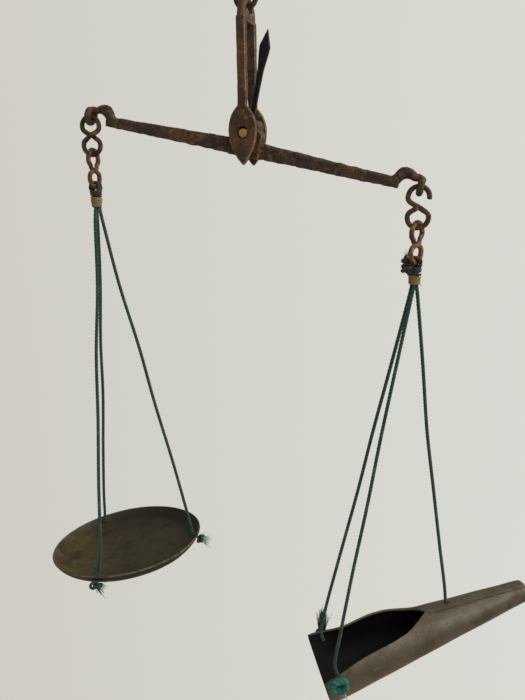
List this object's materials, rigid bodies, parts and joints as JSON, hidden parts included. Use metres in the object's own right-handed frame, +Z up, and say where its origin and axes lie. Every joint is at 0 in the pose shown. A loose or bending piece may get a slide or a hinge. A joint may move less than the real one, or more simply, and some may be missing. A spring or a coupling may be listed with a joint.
{
  "type": "balance scale",
  "caption": "Hand-held balance scale: forged shears and pointer beam on a wire link, with a round pan and a rolled sheet scoop hung on knotted cords.",
  "frame": {"origin": "inside the top of the hanger link's upper eye, where a hook or finger bears", "axes": "+X along the beam towards the scoop, +Y away from the front, +Z up"},
  "size_m": [0.1624, 0.0533, 0.2178],
  "materials": {
    "link_iron": "rusted wire",
    "shears_iron": "rusted forged iron",
    "beam_iron": "rusted forged iron",
    "pin_brass": "dull",
    "pointer_iron": "smooth dark",
    "cord": "twisted cord",
    "twine": "straw twine",
    "pan_bronze": "dark patina",
    "scoop_steel": "mottled rust"
  },
  "bodies": {
    "hanger": {"hanger_link": "link_iron"},
    "shears": {"shears": "shears_iron"},
    "beam": {"beam": "beam_iron", "knife_pin": "pin_brass", "pointer": "pointer_iron"},
    "left_upper": {"left_upper_link": "link_iron"},
    "left_lower": {"left_lower_link": "link_iron"},
    "pan": {"left_cord_loop": "cord", "left_binding": "twine", "left_front_cord": "cord", "left_back_cord": "cord", "left_inner_cord": "cord", "round_pan": "pan_bronze"},
    "right_upper": {"right_upper_link": "link_iron"},
    "right_lower": {"right_lower_link": "link_iron"},
    "scoop": {"right_cord_loop": "cord", "right_binding": "twine", "scoop_near_cord": "cord", "scoop_far_cord": "cord", "scoop_spout_cord": "cord", "scoop": "scoop_steel"}
  },
  "joints": [
    {"name": "shears_swing", "type": "hinge", "parent": "hanger", "child": "shears", "pos_m": [0, 0, -0.0101], "axis": [1, 0, 0], "range_deg": [-20, 20]},
    {"name": "beam_rock", "type": "hinge", "parent": "shears", "child": "beam", "pos_m": [0, 0, -0.04277], "axis": [0, 1, 0], "range_deg": [-28, 3.6]},
    {"name": "left_upper_swing", "type": "hinge", "parent": "beam", "child": "left_upper", "pos_m": [-0.04847, 0, -0.03674], "axis": [0, 1, 0], "range_deg": [-3.8, 28.2]},
    {"name": "right_upper_swing", "type": "hinge", "parent": "beam", "child": "right_upper", "pos_m": [0.04663, 0, -0.0573], "axis": [0, 1, 0], "range_deg": [-3.8, 28.2]},
    {"name": "left_lower_swing", "type": "hinge", "parent": "left_upper", "child": "left_lower", "pos_m": [-0.04847, 0, -0.04587], "axis": [1, 0, 0], "range_deg": [-18, 18]},
    {"name": "right_lower_swing", "type": "hinge", "parent": "right_upper", "child": "right_lower", "pos_m": [0.04663, 0, -0.06643], "axis": [1, 0, 0], "range_deg": [-18, 18]},
    {"name": "pan_swing", "type": "hinge", "parent": "left_lower", "child": "pan", "pos_m": [-0.04847, 0, -0.05522], "axis": [0, 1, 0], "range_deg": [-18, 18]},
    {"name": "scoop_swing", "type": "hinge", "parent": "right_lower", "child": "scoop", "pos_m": [0.04663, 0, -0.07578], "axis": [0, 1, 0], "range_deg": [-18, 18]}
  ],
  "couplings": [
    {"joint": "left_upper_swing", "follows": "beam_rock", "ratio": -1},
    {"joint": "right_upper_swing", "follows": "beam_rock", "ratio": -1}
  ]
}
